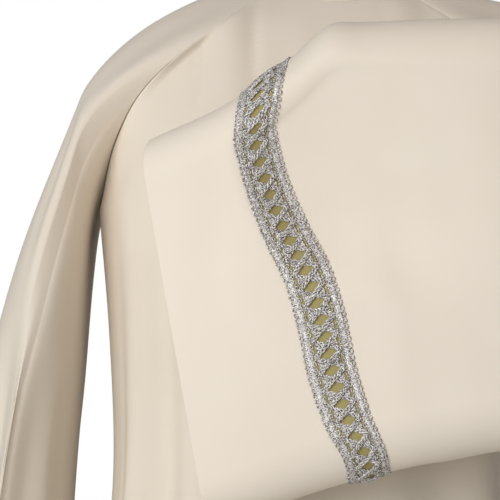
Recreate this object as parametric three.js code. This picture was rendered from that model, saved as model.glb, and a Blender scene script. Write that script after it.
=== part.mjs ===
// Alb: the long ivory vestment of a priest, in its worn form with no wearer inside.
// Millimetres, +Z up. The front faces -Y and the wearer's left is +X.
// Origin: midway between the two side neck points, where the shoulders carry the garment.
import * as THREE from 'three';

// Cloth and seams
const wall = 2;                    // polyester cloth with its turnings
const bandWall = 3;                // two layers of cloth and a stiffener
const seamGap = 0.3;
const seamSpare = 0.03;            // each side stands this much further back, for rounding
const placesPerMillimetre = 50;    // points nearer than this share one place
const degrees = Math.PI / 180;

// Body
const armpitDrop = 222;            // below the side neck points
const hemDrop = 1420;
const bodyRoundness = 0.9;         // 1 is an ellipse, less is squarer
const bodySections = [
  { drop: 222, halfWidth: 222, halfDepth: 130, centreY: -5 },
  { drop: 340, halfWidth: 211, halfDepth: 132, centreY: -6 },
  { drop: 470, halfWidth: 206, halfDepth: 131, centreY: -4 },
  { drop: 640, halfWidth: 222, halfDepth: 147, centreY: 0 },
  { drop: 930, halfWidth: 258, halfDepth: 186, centreY: 4 },
  { drop: 1420, halfWidth: 318, halfDepth: 240, centreY: 6 },
];
const foldHeadStart = 0.06;        // share of its depth a fold has where it starts
const foldHaste = 1.1;             // folds are full a little above the hem
const sideSeamCalm = { reach: 22, until: 360 };   // degrees beside it with no fold, and how far down
// Long folds that fall to the hem: place round the body from the front, 90 is the wearer's left
const bodyFolds = [
  { angle: -78, spread: 11, depth: 40, start: 430 },
  { angle: -56, spread: 12, depth: 45, start: 80 },
  { angle: -34, spread: 11, depth: 38, start: 50 },
  { angle: -12, spread: 12, depth: 46, start: 260 },
  { angle: 10, spread: 11, depth: 39, start: 300 },
  { angle: 31, spread: 11, depth: 43, start: 170 },
  { angle: 54, spread: 12, depth: 46, start: 230 },
  { angle: 77, spread: 11, depth: 38, start: 450 },
  { angle: 101, spread: 12, depth: 42, start: 470 },
  { angle: 124, spread: 12, depth: 46, start: 230 },
  { angle: 145, spread: 10, depth: 37, start: 170 },
  { angle: 166, spread: 12, depth: 45, start: 230 },
  { angle: 189, spread: 12, depth: 43, start: 260 },
  { angle: 211, spread: 11, depth: 39, start: 180 },
  { angle: 233, spread: 12, depth: 46, start: 240 },
  { angle: 257, spread: 11, depth: 38, start: 480 },
];

// Neckline: a closed loop round the base of the neck, angles as on the body
const neckHalfWidth = 75;
const neckCentreY = -11;
const neckHalfDepth = 59;
const neckDip = { middle: -7.5, front: 19, saddle: 7.5 };   // its heights: low in front, high beside
const neckFrontAngle = 58;         // where the front raglan seams meet it
const neckBackAngle = 125;         // where the back raglan seams meet it
const bandHeight = 30;
const bandLean = 7;                // how far the band's top stands in

// Raglan seams of the left side, from the armpit (0) to the neckline (1)
const armpit = { at: 0, x: 222, y: -5, z: -222 };
const frontRaglan = [
  armpit,
  { at: 0.3, x: 203, y: -66, z: -165 },
  { at: 0.52, x: 178, y: -90, z: -124 },
  { at: 0.82, x: 110, y: -91, z: -62 },
];
const backRaglan = [
  armpit,
  { at: 0.3, x: 205, y: 52, z: -166 },
  { at: 0.55, x: 176, y: 78, z: -112 },
  { at: 0.82, x: 112, y: 72, z: -40 },
];

// How the two panels climb from the chest to the neckline
const yokeEasing = 0.35;           // share of their narrowing that eases in and out
const frontPanel = {
  name: 'front_panel', from: -90, to: 90, neckFrom: -neckFrontAngle, neckTo: neckFrontAngle,
  seam: frontRaglan, rise: { y: -6, z: 200 }, lean: { y: 90, z: 120 },
};
const backPanel = {
  name: 'back_panel', from: 90, to: 270, neckFrom: neckBackAngle, neckTo: 360 - neckBackAngle,
  seam: backRaglan, rise: { y: 4, z: 190 }, lean: { y: -84, z: 160 },
};
const panelColumns = 36;
const yokeRows = 12;
const skirtDrops = [222, 300, 390, 490, 620, 770, 930, 1090, 1255, 1420];

// Sleeve section, in columns round the tube: 0 is the underarm line, 14 is the crest
const halfColumns = 14;
const sleeveColumns = 2 * halfColumns;
const neckColumns = 4;             // of them lie on the neckline
const cuffAt = 683;                // along the sleeve, from the raglan seam
const trimFrom = 555;
const trimTo = 593;
const trimReach = 105;             // how far along the sleeve its sway is felt

// The left sleeve, bent across the chest. crest and keel are the top and bottom of the section,
// plan is the way it runs, seen from above, half is its half width and cap how far it rounds over.
const leftSleeve = {
  name: 'left_sleeve',
  side: 1,
  columns: { keel: 3, side: 6, crest: 5 },
  sections: [
    { at: 120, crest: [236, -100, -60], keel: [250, -100, -340], plan: 272, half: [52, 36], cap: [50, 34] },
    { at: 210, crest: [243, -190, -88], keel: [250, -196, -400], plan: 266, half: [52, 34], cap: [50, 32] },
    { at: 255, crest: [233, -233, -100], keel: [240, -236, -420], plan: 240, half: [52, 33], cap: [50, 31] },
    { at: 300, crest: [202, -264, -107], keel: [214, -266, -436], plan: 210, half: [52, 32], cap: [50, 30] },
    { at: 344, crest: [159, -275, -110], keel: [182, -274, -446], plan: 182, half: [52, 32], cap: [50, 30] },
    { at: 443, crest: [60, -272, -110], keel: [108, -268, -452], plan: 174, half: [52, 32], cap: [50, 42] },
    { at: 495, crest: [9, -267, -111], keel: [71, -262, -459], plan: 170, half: [51, 31], cap: [50, 42] },
    { at: 515, crest: [-10, -266, -111], keel: [57, -260, -461], plan: 168, half: [51, 31], cap: [50, 42] },
    { at: 555, crest: [-44, -260, -138], keel: [29, -252, -467], plan: 165, half: [50, 30], cap: [50, 42] },
    { at: 593, crest: [-81, -254, -165], keel: [-3, -245, -475], plan: 163, half: [48, 29], cap: [48, 41] },
    { at: 683, crest: [-156, -232, -198], keel: [-106, -224, -508], plan: 160, half: [40, 26], cap: [40, 34] },
  ],
  leaving: {                       // how the cloth sets off from the seam
    keel: [60, -24, -60], inner: [70, -110, -16], crest: [200, -20, -50], outer: [160, 40, -20],
  },
  folds: [
    { at: 551, column: 20.2, slope: -0.012, behind: 90, ahead: 52, spread: 1.45, depth: -18 },
    { at: 250, column: 21, slope: 0, behind: 120, ahead: 120, spread: 1.3, depth: -9 },
    { at: 330, column: 8, slope: 0, behind: 60, ahead: 60, spread: 1.6, depth: -12 },
  ],
  // The galloon's line: its sway towards the cuff, and how much of its width a slope takes up
  sway: [
    { column: 14, shift: 0, narrow: 0 },
    { column: 17, shift: 3, narrow: 0 },
    { column: 18, shift: 8, narrow: 0.06 },
    { column: 19, shift: 15, narrow: 0.22 },
    { column: 20, shift: 16, narrow: 0.26 },
    { column: 21, shift: 11, narrow: 0.18 },
    { column: 22, shift: 2, narrow: 0.08 },
    { column: 23, shift: 0, narrow: -0.04 },
    { column: 24, shift: 2, narrow: -0.05 },
    { column: 25, shift: -1, narrow: -0.04 },
    { column: 26, shift: -6, narrow: 0 },
    { column: 28, shift: 0, narrow: 0 },
  ],
  rows: [0, 40, 80, 120, 165, 210, 255, 300, 344, 395, 443, 482, 515, 535, 555, 574, 593, 640, 683],
};

// The right sleeve, hanging at the side, given as on the left and mirrored
const rightSleeve = {
  name: 'right_sleeve',
  side: -1,
  columns: { keel: 6, side: 2, crest: 6 },
  sections: [
    { at: 120, crest: [237, 4, -110], keel: [231, 0, -272], plan: 0, half: [106, 98], cap: [66, 66] },
    { at: 250, crest: [290, 2, -254], keel: [236, 0, -362], plan: 0, half: [126, 120], cap: [52, 50] },
    { at: 400, crest: [326, -2, -398], keel: [242, -4, -452], plan: 0, half: [136, 131], cap: [48, 46] },
    { at: 555, crest: [352, -6, -554], keel: [249, -8, -586], plan: 0, half: [144, 140], cap: [52, 50] },
    { at: 593, crest: [358, -7, -592], keel: [251, -9, -620], plan: 0, half: [146, 142], cap: [53, 51] },
    { at: 683, crest: [371, -9, -682], keel: [255, -11, -704], plan: 0, half: [150, 146], cap: [58, 56] },
  ],
  leaving: {
    keel: [30, 0, -60], inner: [90, 8, -50], crest: [205, 0, -18], outer: [90, 20, -50],
  },
  folds: [
    { at: 520, column: 9.6, slope: 0.002, behind: 330, ahead: 330, spread: 1.2, depth: -32 },
    { at: 500, column: 4.6, slope: 0, behind: 300, ahead: 300, spread: 1.1, depth: -15 },
    { at: 540, column: 17.8, slope: -0.003, behind: 330, ahead: 330, spread: 1.2, depth: -34 },
    { at: 480, column: 22, slope: 0.002, behind: 280, ahead: 280, spread: 1.2, depth: -24 },
  ],
  rows: [0, 40, 80, 120, 185, 250, 325, 400, 478, 555, 574, 593, 638, 683],
};

// Galloon: silver braid with a lattice of cords over flat gold lozenges
const galloonLift = 1.1;           // its back stands this far off the cloth
const latticeStep = 6.6;           // half of the lattice's repeat
// Across half its width, as a share of the whole: heights where lozenges lie and where cords cross
const galloonProfile = [
  { across: 0, lozenge: 1.3, crossing: 1.3 },
  { across: 0.06, lozenge: 2.1, crossing: 1.7 },
  { across: 0.3, lozenge: 1.2, crossing: 1.2 },
  { across: 0.37, lozenge: 2.3, crossing: 1.4 },
  { across: 0.5, lozenge: 1.3, crossing: 2.6 },
];

function mix(a, b, share) {
  return a + (b - a) * share;
}

function ease(share) {
  const held = Math.min(1, Math.max(0, share));
  return held * held * (3 - 2 * held);
}

function hermite(start, leave, end, arrive, share) {
  const s2 = share * share;
  const s3 = s2 * share;
  return (2 * s3 - 3 * s2 + 1) * start + (s3 - 2 * s2 + share) * leave
    + (3 * s2 - 2 * s3) * end + (s3 - s2) * arrive;
}

// Slope of one value at a row of a table, from its neighbours
function slopeAt(rows, key, value, i) {
  const before = rows[Math.max(0, i - 1)];
  const here = rows[i];
  const after = rows[Math.min(rows.length - 1, i + 1)];
  const back = here[key] - before[key];
  const ahead = after[key] - here[key];
  if (back === 0) return (value(after) - value(here)) / ahead;
  if (ahead === 0) return (value(here) - value(before)) / back;
  const slopeBack = (value(here) - value(before)) / back;
  const slopeAhead = (value(after) - value(here)) / ahead;
  return (slopeAhead * back + slopeBack * ahead) / (back + ahead);
}

// A value at a place between the rows of a table, on a smooth curve through them
function along(rows, key, at, value) {
  let i = 0;
  while (i < rows.length - 2 && at > rows[i + 1][key]) i += 1;
  const span = rows[i + 1][key] - rows[i][key];
  const leave = slopeAt(rows, key, value, i) * span;
  const arrive = slopeAt(rows, key, value, i + 1) * span;
  return hermite(value(rows[i]), leave, value(rows[i + 1]), arrive, (at - rows[i][key]) / span);
}

// Soft hump, 1 at its middle and 0 from a distance of 1
function hump(distance) {
  const near = Math.min(1, Math.abs(distance));
  return 0.5 * (1 + Math.cos(Math.PI * near));
}

function foldDepth(angle, drop) {
  let depth = 0;
  for (const fold of bodyFolds) {
    const apart = ((angle - fold.angle + 540) % 360) - 180;
    const grown = ease((drop - fold.start) / (hemDrop - fold.start) * foldHaste + foldHeadStart);
    depth += fold.depth * grown * hump(apart / fold.spread);
  }
  const fromSide = Math.abs(Math.abs(((angle + 540) % 360) - 180) - 90);
  const besideSeam = 1 - ease(fromSide / sideSeamCalm.reach);
  const nearArmpit = ease((sideSeamCalm.until - drop) / (sideSeamCalm.until - armpitDrop));
  return depth * (1 - besideSeam * nearArmpit);
}

// A point of the body's outside, by its angle round the body and its drop below the neck
function bodyPoint(angle, drop, folds = 1) {
  const s = Math.sin(angle * degrees);
  const c = Math.cos(angle * degrees);
  const halfWidth = along(bodySections, 'drop', drop, (row) => row.halfWidth);
  const halfDepth = along(bodySections, 'drop', drop, (row) => row.halfDepth);
  const centreY = along(bodySections, 'drop', drop, (row) => row.centreY);
  const x = halfWidth * Math.sign(s) * Math.abs(s) ** bodyRoundness;
  const y = centreY - halfDepth * Math.sign(c) * Math.abs(c) ** bodyRoundness;
  const out = folds * foldDepth(angle, drop);
  return new THREE.Vector3(x + out * s, y - out * c, -drop);
}

function neckPoint(angle, height = 0) {
  const s = Math.sin(angle * degrees);
  const c = Math.cos(angle * degrees);
  const inward = bandLean * height / bandHeight;
  const base = neckDip.middle - neckDip.front * c - neckDip.saddle * Math.cos(2 * angle * degrees);
  return new THREE.Vector3(
    (neckHalfWidth - inward) * s,
    neckCentreY - (neckHalfDepth - inward) * c,
    base + height,
  );
}

// A point of a raglan seam; side is 1 on the wearer's left and -1 on the right
function raglanPoint(seam, side, at) {
  const neckAngle = seam === frontRaglan ? neckFrontAngle : neckBackAngle;
  const end = neckPoint(neckAngle);
  const rows = [...seam, { at: 1, x: end.x, y: end.y, z: end.z }];
  return new THREE.Vector3(
    side * along(rows, 'at', at, (row) => row.x),
    along(rows, 'at', at, (row) => row.y),
    along(rows, 'at', at, (row) => row.z),
  );
}

// A point of a panel above the armpits: across from 0 to 1, up from 0 to 1
function yokePoint(panel, across, up) {
  const climb = (share) => {
    const low = bodyPoint(mix(panel.from, panel.to, share), armpitDrop, 0);
    const high = neckPoint(mix(panel.neckFrom, panel.neckTo, share));
    return new THREE.Vector3(
      mix(low.x, high.x, mix(up, ease(up), yokeEasing)),
      hermite(low.y, panel.rise.y, high.y, panel.lean.y, up),
      hermite(low.z, panel.rise.z, high.z, panel.lean.z, up),
    );
  };
  const firstSide = panel === frontPanel ? -1 : 1;
  const firstOff = raglanPoint(panel.seam, firstSide, up).sub(climb(0));
  const lastOff = raglanPoint(panel.seam, -firstSide, up).sub(climb(1));
  const point = climb(across);
  point.addScaledVector(firstOff, Math.max(0, 1 - 2 * across) ** 2);
  point.addScaledVector(lastOff, Math.max(0, 2 * across - 1) ** 2);
  // The folds that start above the armpits run on, and die out before the seams
  const angle = mix(panel.from, panel.to, across);
  const out = foldDepth(angle, Math.min(-point.z, armpitDrop)) * (1 - up);
  point.x += out * Math.sin(angle * degrees);
  point.y -= out * Math.cos(angle * degrees);
  return point;
}

function panelGrid(panel) {
  const rows = [];
  for (const drop of [...skirtDrops].reverse()) {
    const row = [];
    for (let c = 0; c <= panelColumns; c += 1) {
      row.push(bodyPoint(mix(panel.from, panel.to, c / panelColumns), drop));
    }
    rows.push(row);
  }
  for (let r = 1; r <= yokeRows; r += 1) {
    const row = [];
    for (let c = 0; c <= panelColumns; c += 1) {
      row.push(yokePoint(panel, c / panelColumns, r / yokeRows));
    }
    rows.push(row);
  }
  return rows;
}

// The sleeve's first ring lies on the raglan seams and the neckline
function seamRing(column) {
  const neckStart = (sleeveColumns - neckColumns) / 2;
  if (column <= neckStart) return raglanPoint(frontRaglan, 1, column / neckStart);
  if (column >= neckStart + neckColumns) {
    return raglanPoint(backRaglan, 1, (sleeveColumns - column) / neckStart);
  }
  return neckPoint(mix(neckFrontAngle, neckBackAngle, (column - neckStart) / neckColumns));
}

// A section of the sleeve's tube, at a place along it and a column round it
function tubePoint(sleeve, at, column) {
  const rows = sleeve.sections;
  const sway = (key) => (sleeve.sway && column >= halfColumns
    ? along(sleeve.sway, 'column', column, (row) => row[key]) : 0);
  const middle = (trimFrom + trimTo) / 2;
  const swayed = (sway('shift') + sway('narrow') * (middle - at)) * hump((at - middle) / trimReach);
  const read = (value) => along(rows, 'at', Math.min(cuffAt, at + swayed), value);
  const crest = new THREE.Vector3(...[0, 1, 2].map((i) => read((row) => row.crest[i])));
  const keel = new THREE.Vector3(...[0, 1, 2].map((i) => read((row) => row.keel[i])));
  const [crestHalf, keelHalf] = [0, 1].map((i) => read((row) => row.half[i]));
  const [crestCap, keelCap] = [0, 1].map((i) => read((row) => row.cap[i]));
  const plan = read((row) => row.plan) * degrees;
  const outward = new THREE.Vector3(-Math.sin(plan), Math.cos(plan), 0);
  const upward = crest.clone().sub(keel).normalize();
  const high = crest.clone().addScaledVector(upward, -crestCap);
  const low = keel.clone().addScaledVector(upward, keelCap);
  const outer = column > halfColumns;
  const place = outer ? sleeveColumns - column : column;
  const side = outer ? 1 : -1;
  const { keel: keelColumns, side: sideColumns, crest: crestColumns } = sleeve.columns;
  const point = new THREE.Vector3();
  const normal = new THREE.Vector3();
  if (place < keelColumns) {
    const turn = place / keelColumns * Math.PI / 2;
    point.copy(low).addScaledVector(upward, -keelCap * Math.cos(turn));
    point.addScaledVector(outward, side * keelHalf * Math.sin(turn));
    normal.addScaledVector(outward, side * Math.sin(turn)).addScaledVector(upward, -Math.cos(turn));
  } else if (place < keelColumns + sideColumns) {
    const share = (place - keelColumns) / sideColumns;
    point.copy(low).lerp(high, share);
    point.addScaledVector(outward, side * mix(keelHalf, crestHalf, share));
    normal.copy(outward).multiplyScalar(side);
  } else {
    const turn = (place - keelColumns - sideColumns) / crestColumns * Math.PI / 2;
    point.copy(high).addScaledVector(upward, crestCap * Math.sin(turn));
    point.addScaledVector(outward, side * crestHalf * Math.cos(turn));
    normal.addScaledVector(outward, side * Math.cos(turn)).addScaledVector(upward, Math.sin(turn));
  }
  for (const fold of sleeve.folds) {
    const line = fold.column + fold.slope * (at - fold.at);
    const length = at < fold.at ? fold.behind : fold.ahead;
    const size = hump((at - fold.at) / length) * hump((column - line) / (2 * fold.spread));
    point.addScaledVector(normal, fold.depth * size);
  }
  return point;
}

// How the cloth leaves the seam, from four named directions round the ring
function leavingAt(sleeve, column) {
  const turn = 2 * Math.PI * column / sleeveColumns;
  const { keel, inner, crest, outer } = sleeve.leaving;
  return new THREE.Vector3(...[0, 1, 2].map((i) => {
    const mean = (keel[i] + inner[i] + crest[i] + outer[i]) / 4;
    const second = (keel[i] - inner[i] + crest[i] - outer[i]) / 4;
    return mean + (keel[i] - crest[i]) / 2 * Math.cos(turn) + (inner[i] - outer[i]) / 2 * Math.sin(turn)
      + second * Math.cos(2 * turn);
  }));
}

function sleevePoint(sleeve, at, column) {
  const first = sleeve.sections[0].at;
  if (at >= first) return tubePoint(sleeve, at, column);
  const start = seamRing(column);
  const leave = leavingAt(sleeve, column);
  const end = tubePoint(sleeve, first, column);
  const arrive = tubePoint(sleeve, first + 1, column).sub(end).multiplyScalar(first);
  const share = at / first;
  return new THREE.Vector3(
    hermite(start.x, leave.x, end.x, arrive.x, share),
    hermite(start.y, leave.y, end.y, arrive.y, share),
    hermite(start.z, leave.z, end.z, arrive.z, share),
  );
}

function sleeveGrid(sleeve) {
  return sleeve.rows.map((at) => {
    const row = [];
    for (let c = 0; c < sleeveColumns; c += 1) {
      const point = sleevePoint(sleeve, at, c);
      point.x *= sleeve.side;
      row.push(point);
    }
    return row;
  });
}

function bandGrid() {
  const angles = [];
  const stretch = (from, to, count) => {
    for (let i = 0; i < count; i += 1) angles.push(mix(from, to, i / count));
  };
  stretch(-neckFrontAngle, neckFrontAngle, panelColumns);
  stretch(neckFrontAngle, neckBackAngle, neckColumns);
  stretch(neckBackAngle, 360 - neckBackAngle, panelColumns);
  stretch(360 - neckBackAngle, 360 - neckFrontAngle, neckColumns);
  return [0, 1].map((share) => angles.map((angle) => neckPoint(angle, bandHeight * share)));
}

// Normals of a grid of points, away from the garment's inside: the mean of the flats round each
function gridNormals(grid, closed, outside) {
  const columns = grid[0].length;
  const normals = grid.map((row) => row.map(() => new THREE.Vector3()));
  for (let r = 0; r < grid.length - 1; r += 1) {
    for (let c = 0; c < (closed ? columns : columns - 1); c += 1) {
      const next = (c + 1) % columns;
      const across = grid[r + 1][next].clone().sub(grid[r][c]);
      const up = grid[r + 1][c].clone().sub(grid[r][next]);
      const flat = across.cross(up).normalize().multiplyScalar(outside);
      for (const [i, j] of [[r, c], [r, next], [r + 1, c], [r + 1, next]]) normals[i][j].add(flat);
    }
  }
  return normals.map((row) => row.map((normal) => normal.normalize()));
}

const seamNormals = new Map();

function placeKey(point) {
  return [point.x, point.y, point.z].map((value) => Math.round(value * placesPerMillimetre)).join(' ');
}

// Pieces that meet at a point share one normal there, so their walls end face to face
function addToSeams(cloth) {
  cloth.grid.forEach((row, r) => row.forEach((point, c) => {
    const key = placeKey(point);
    if (!seamNormals.has(key)) seamNormals.set(key, new THREE.Vector3());
    seamNormals.get(key).add(cloth.normals[r][c]);
  }));
}

// The wall of a piece: its outside points, drawn back from the seams, and the same moved in
function clothWall(cloth) {
  const { grid, closed } = cloth;
  const rows = grid.length;
  const columns = grid[0].length;
  const outer = [];
  const inner = [];
  grid.forEach((row, r) => {
    const outerRow = [];
    const innerRow = [];
    row.forEach((point, c) => {
      const normal = seamNormals.get(placeKey(point)).clone().normalize();
      const back = new THREE.Vector3();
      const drawBack = (neighbour) => {
        const way = neighbour.clone().sub(point);
        way.addScaledVector(normal, -way.dot(normal)).normalize();
        back.addScaledVector(way, seamGap / 2 + seamSpare);
      };
      if (r === 0 && cloth.seamBelow) drawBack(grid[1][c]);
      if (r === rows - 1 && cloth.seamAbove) drawBack(grid[rows - 2][c]);
      if (!closed && c === 0) drawBack(row[1]);
      if (!closed && c === columns - 1) drawBack(row[columns - 2]);
      const moved = point.clone().add(back);
      outerRow.push(moved);
      innerRow.push(moved.clone().addScaledVector(normal, -cloth.wall));
    });
    outer.push(outerRow);
    inner.push(innerRow);
  });
  return { outer, inner, closed };
}

// One closed body from an outside grid and an inside grid with the same columns
function closedBody({ outer, inner, closed }) {
  const columns = outer[0].length;
  const positions = [];
  const first = [0, outer.length * columns];
  for (const grid of [outer, inner]) {
    for (const row of grid) for (const point of row) positions.push(point.x, point.y, point.z);
  }
  const faces = [];
  const quad = (a, b, c, d) => faces.push(a, b, c, a, c, d);
  const last = closed ? columns : columns - 1;
  [outer, inner].forEach((grid, layer) => {
    for (let r = 0; r < grid.length - 1; r += 1) {
      for (let c = 0; c < last; c += 1) {
        const a = first[layer] + r * columns + c;
        const b = first[layer] + r * columns + (c + 1) % columns;
        if (layer === 0) quad(a, b, b + columns, a + columns);
        else quad(a, a + columns, b + columns, b);
      }
    }
  });
  const outerTop = (outer.length - 1) * columns;
  const innerTop = first[1] + (inner.length - 1) * columns;
  for (let c = 0; c < last; c += 1) {
    const next = (c + 1) % columns;
    quad(next, c, first[1] + c, first[1] + next);
    quad(outerTop + c, outerTop + next, innerTop + next, innerTop + c);
  }
  if (!closed) {
    for (let r = 0; r < outer.length - 1; r += 1) {
      const a = r * columns;
      const b = a + columns - 1;
      quad(a, a + columns, first[1] + a + columns, first[1] + a);
      quad(b + columns, b, first[1] + b, first[1] + b + columns);
    }
  }
  const geometry = new THREE.BufferGeometry();
  geometry.setAttribute('position', new THREE.Float32BufferAttribute(positions, 3));
  geometry.setIndex(turnedOut(positions, faces));
  geometry.computeVertexNormals();
  return geometry;
}

// Turns all faces round if they point into the solid
function turnedOut(positions, faces) {
  const corner = (i) => new THREE.Vector3(positions[3 * i], positions[3 * i + 1], positions[3 * i + 2]);
  let volume = 0;
  for (let f = 0; f < faces.length; f += 3) {
    volume += corner(faces[f]).dot(corner(faces[f + 1]).cross(corner(faces[f + 2])));
  }
  if (volume > 0) return faces;
  const turned = [];
  for (let f = 0; f < faces.length; f += 3) turned.push(faces[f], faces[f + 2], faces[f + 1]);
  return turned;
}

// The galloon lies round the sleeve on some of its rows, and follows the flats between them
function galloonBody(sleeve, cloth) {
  const firstRow = sleeve.rows.indexOf(trimFrom);
  const steps = sleeve.rows.indexOf(trimTo) - firstRow;
  const rowAt = (step) => cloth.wallGrids.outer[firstRow + step];
  const places = [];
  for (let c = 0; c < sleeveColumns; c += 1) {
    const next = (c + 1) % sleeveColumns;
    const lengths = [rowAt(0), rowAt(steps)].map((row) => row[c].distanceTo(row[next]));
    const length = (lengths[0] + lengths[1]) / 2;
    const count = Math.max(1, Math.round(length / latticeStep));
    for (let i = 0; i < count; i += 1) places.push({ c, next, share: i / count });
  }
  // Each flat of the sleeve is two triangles that meet on the line from low[c] to high[next]
  const pointAt = (place, across, lift) => {
    const { c, next, share } = place;
    const step = Math.min(steps - 1, Math.floor(across * steps));
    const climb = across * steps - step;
    const low = rowAt(step);
    const high = rowAt(step + 1);
    const point = low[c].clone();
    if (share >= climb) {
      point.addScaledVector(low[next].clone().sub(low[c]), share);
      point.addScaledVector(high[next].clone().sub(low[next]), climb);
    } else {
      point.addScaledVector(high[c].clone().sub(low[c]), climb);
      point.addScaledVector(high[next].clone().sub(high[c]), share);
    }
    const lowNormals = cloth.normals[firstRow + step];
    const highNormals = cloth.normals[firstRow + step + 1];
    const normal = lowNormals[c].clone().lerp(lowNormals[next], share);
    normal.lerp(highNormals[c].clone().lerp(highNormals[next], share), climb).normalize();
    return point.addScaledVector(normal, lift);
  };
  const half = galloonProfile.length - 1;
  const outer = [];
  for (let i = 0; i <= 2 * half; i += 1) {
    const row = galloonProfile[i <= half ? i : 2 * half - i];
    const across = i <= half ? row.across : 1 - row.across;
    outer.push(places.map((place, n) => {
      const height = n % 2 ? row.crossing : row.lozenge;
      return pointAt(place, across, galloonLift + height);
    }));
  }
  const inner = [];
  for (let step = 0; step <= steps; step += 1) {
    inner.push(places.map((place) => pointAt(place, step / steps, galloonLift)));
  }
  return closedBody({ outer, inner, closed: true });
}

const ivoryCloth = { color: 0xe9dfcd, roughness: 0.85, metalness: 0 };
const silverBraid = { color: 0xb9b4b2, roughness: 0.45, metalness: 0.7 };

const alb = new THREE.Group();

function addPiece(name, geometry, finish) {
  const piece = new THREE.Mesh(geometry, new THREE.MeshStandardMaterial(finish));
  piece.name = name;
  alb.add(piece);
}

const pieces = [];
for (const panel of [frontPanel, backPanel]) {
  pieces.push({ name: panel.name, grid: panelGrid(panel), outside: 1, wall, seamAbove: true });
}
for (const sleeve of [leftSleeve, rightSleeve]) {
  pieces.push({
    name: sleeve.name, grid: sleeveGrid(sleeve), outside: -sleeve.side, closed: true, wall,
    seamBelow: true, sleeve,
  });
}
pieces.push({
  name: 'neck_band', grid: bandGrid(), outside: 1, closed: true, wall: bandWall, seamBelow: true,
});

for (const cloth of pieces) {
  cloth.normals = gridNormals(cloth.grid, cloth.closed, cloth.outside);
  addToSeams(cloth);
}
for (const cloth of pieces) {
  cloth.wallGrids = clothWall(cloth);
  addPiece(cloth.name, closedBody(cloth.wallGrids), ivoryCloth);
  if (cloth.sleeve) {
    const name = cloth.name.replace('sleeve', 'galloon');
    addPiece(name, galloonBody(cloth.sleeve, cloth), silverBraid);
  }
}

export default alb;
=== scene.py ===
import math

import bpy
import numpy as np
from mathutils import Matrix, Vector


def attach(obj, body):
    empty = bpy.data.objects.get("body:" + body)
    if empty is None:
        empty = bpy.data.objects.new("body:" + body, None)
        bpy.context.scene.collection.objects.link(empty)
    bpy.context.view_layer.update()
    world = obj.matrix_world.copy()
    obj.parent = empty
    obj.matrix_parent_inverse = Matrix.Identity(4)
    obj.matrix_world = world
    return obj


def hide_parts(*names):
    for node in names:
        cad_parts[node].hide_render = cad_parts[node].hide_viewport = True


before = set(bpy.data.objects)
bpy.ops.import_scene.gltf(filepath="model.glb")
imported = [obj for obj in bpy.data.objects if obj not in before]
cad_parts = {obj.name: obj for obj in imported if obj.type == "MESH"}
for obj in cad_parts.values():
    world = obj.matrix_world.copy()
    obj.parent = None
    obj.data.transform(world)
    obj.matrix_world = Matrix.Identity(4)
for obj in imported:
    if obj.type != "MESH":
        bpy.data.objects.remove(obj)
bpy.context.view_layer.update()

scene = bpy.context.scene
mm = 0.001


# Camera: a little below the sleeve, looking up
view = {
    "place": (-80, -1599.3, -480.9),   # mm
    "lookUp": 8,                       # degrees above the horizon
    "lens": 122.98,                    # mm, on a 36 mm square sensor
    "sensor": 36,
}


def addObject(name, data):
    made = bpy.data.objects.new(name, data)
    scene.collection.objects.link(made)
    return made


def makeCamera():
    data = bpy.data.cameras.new("camera")
    data.lens = view["lens"]
    data.sensor_width = view["sensor"]
    data.sensor_height = view["sensor"]
    data.clip_start = 0.02
    data.clip_end = 60
    camera = addObject("camera", data)
    camera.location = Vector(view["place"]) * mm
    camera.rotation_euler = (math.radians(90 + view["lookUp"]), 0, 0)
    scene.camera = camera


makeCamera()
print("camera made")


# Numbers and curves

def mix(a, b, share):
    return a + (b - a) * share


def ease(share):
    held = np.clip(share, 0, 1)
    return held * held * (3 - 2 * held)


def hump(distance):
    return 0.5 * (1 + np.cos(np.pi * np.minimum(1, np.abs(distance))))


def hermite(start, leave, end, arrive, share):
    s2 = share * share
    s3 = s2 * share
    return ((2 * s3 - 3 * s2 + 1) * start + (s3 - 2 * s2 + share) * leave
            + (3 * s2 - 2 * s3) * end + (s3 - s2) * arrive)


# Smooth curve through the rows of a table: places are its first column
def along(places, values, at):
    places = np.asarray(places, float)
    values = np.asarray(values, float)
    at = np.asarray(at, float)
    steps = np.diff(places)
    wide = steps.reshape((-1,) + (1,) * (values.ndim - 1))
    rises = np.diff(values, axis=0) / wide
    slopes = np.concatenate([rises[:1], rises[-1:]]) if len(places) == 2 else np.concatenate([
        rises[:1],
        (rises[1:] * wide[:-1] + rises[:-1] * wide[1:]) / (wide[1:] + wide[:-1]),
        rises[-1:],
    ])
    i = np.clip(np.searchsorted(places, at, side="left") - 1, 0, len(places) - 2)
    share = (at - places[i]) / steps[i]
    span = steps[i]
    if values.ndim > 1:
        share = share[..., None]
        span = span[..., None]
    return hermite(values[i], slopes[i] * span, values[i + 1], slopes[i + 1] * span, share)


def column(rows, key):
    return [row[key] for row in rows]


def unit(vectors):
    return vectors / np.maximum(np.linalg.norm(vectors, axis=-1, keepdims=True), 1e-9)


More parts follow.
